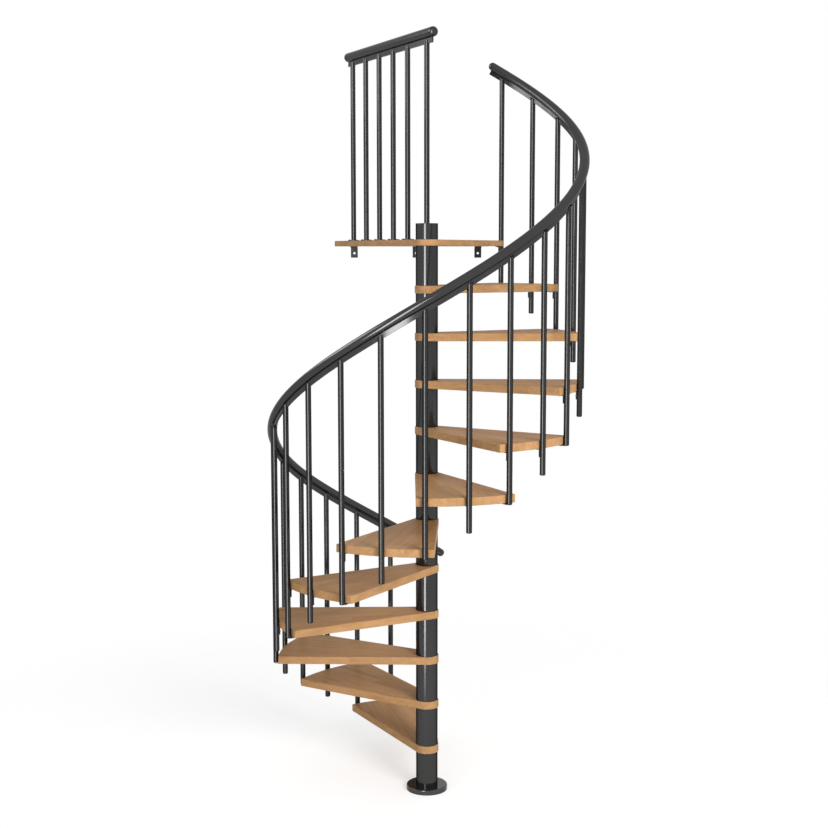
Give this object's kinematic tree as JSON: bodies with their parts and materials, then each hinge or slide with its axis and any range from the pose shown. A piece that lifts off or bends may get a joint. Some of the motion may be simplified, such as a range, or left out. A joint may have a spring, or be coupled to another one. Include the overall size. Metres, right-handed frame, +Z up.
{
  "type": "spiral staircase",
  "caption": "Round spiral staircase with oak wedge treads on a steel post, a helical handrail on slim balusters, and a landing with a straight guard rail.",
  "frame": {"origin": "centre of the base plate's underside, on the post's axis and the floor", "axes": "+Z up the post, +Y towards the wall that the landing is fixed to, +X to the right of it"},
  "size_m": [1.4038, 1.5069, 3.382],
  "materials": {
    "post_steel": "satin anthracite powder coat",
    "baluster_steel": "satin anthracite powder coat",
    "rail": "matt anthracite sheath",
    "oak": "oiled oak, glued staves"
  },
  "bodies": {
    "root": {"base_plate": "post_steel", "base_cover": "post_steel", "core_tube": "post_steel", "post_cap": "post_steel", "sleeve_01": "post_steel", "sleeve_02": "post_steel", "sleeve_03": "post_steel", "sleeve_04": "post_steel", "sleeve_05": "post_steel", "sleeve_06": "post_steel", "sleeve_07": "post_steel", "sleeve_08": "post_steel", "sleeve_09": "post_steel", "sleeve_10": "post_steel", "sleeve_11": "post_steel", "sleeve_12": "post_steel", "sleeve_13": "post_steel", "tread_01": "oak", "tread_02": "oak", "tread_03": "oak", "tread_04": "oak", "tread_05": "oak", "tread_06": "oak", "tread_07": "oak", "tread_08": "oak", "tread_09": "oak", "tread_10": "oak", "tread_11": "oak", "landing": "oak", "handrail_tube": "rail", "guard_tube": "rail", "landing_wall_brackets": "baluster_steel", "carrying_balusters": "baluster_steel", "hanging_balusters": "baluster_steel", "start_baluster": "baluster_steel", "carrying_brackets": "baluster_steel", "hanging_brackets": "baluster_steel", "baluster_feet": "baluster_steel", "handrail_strip": "baluster_steel", "guard_strip": "baluster_steel", "guard_balusters": "baluster_steel", "guard_post_baluster": "baluster_steel", "guard_feet_plates": "baluster_steel"}
  },
  "joints": []
}
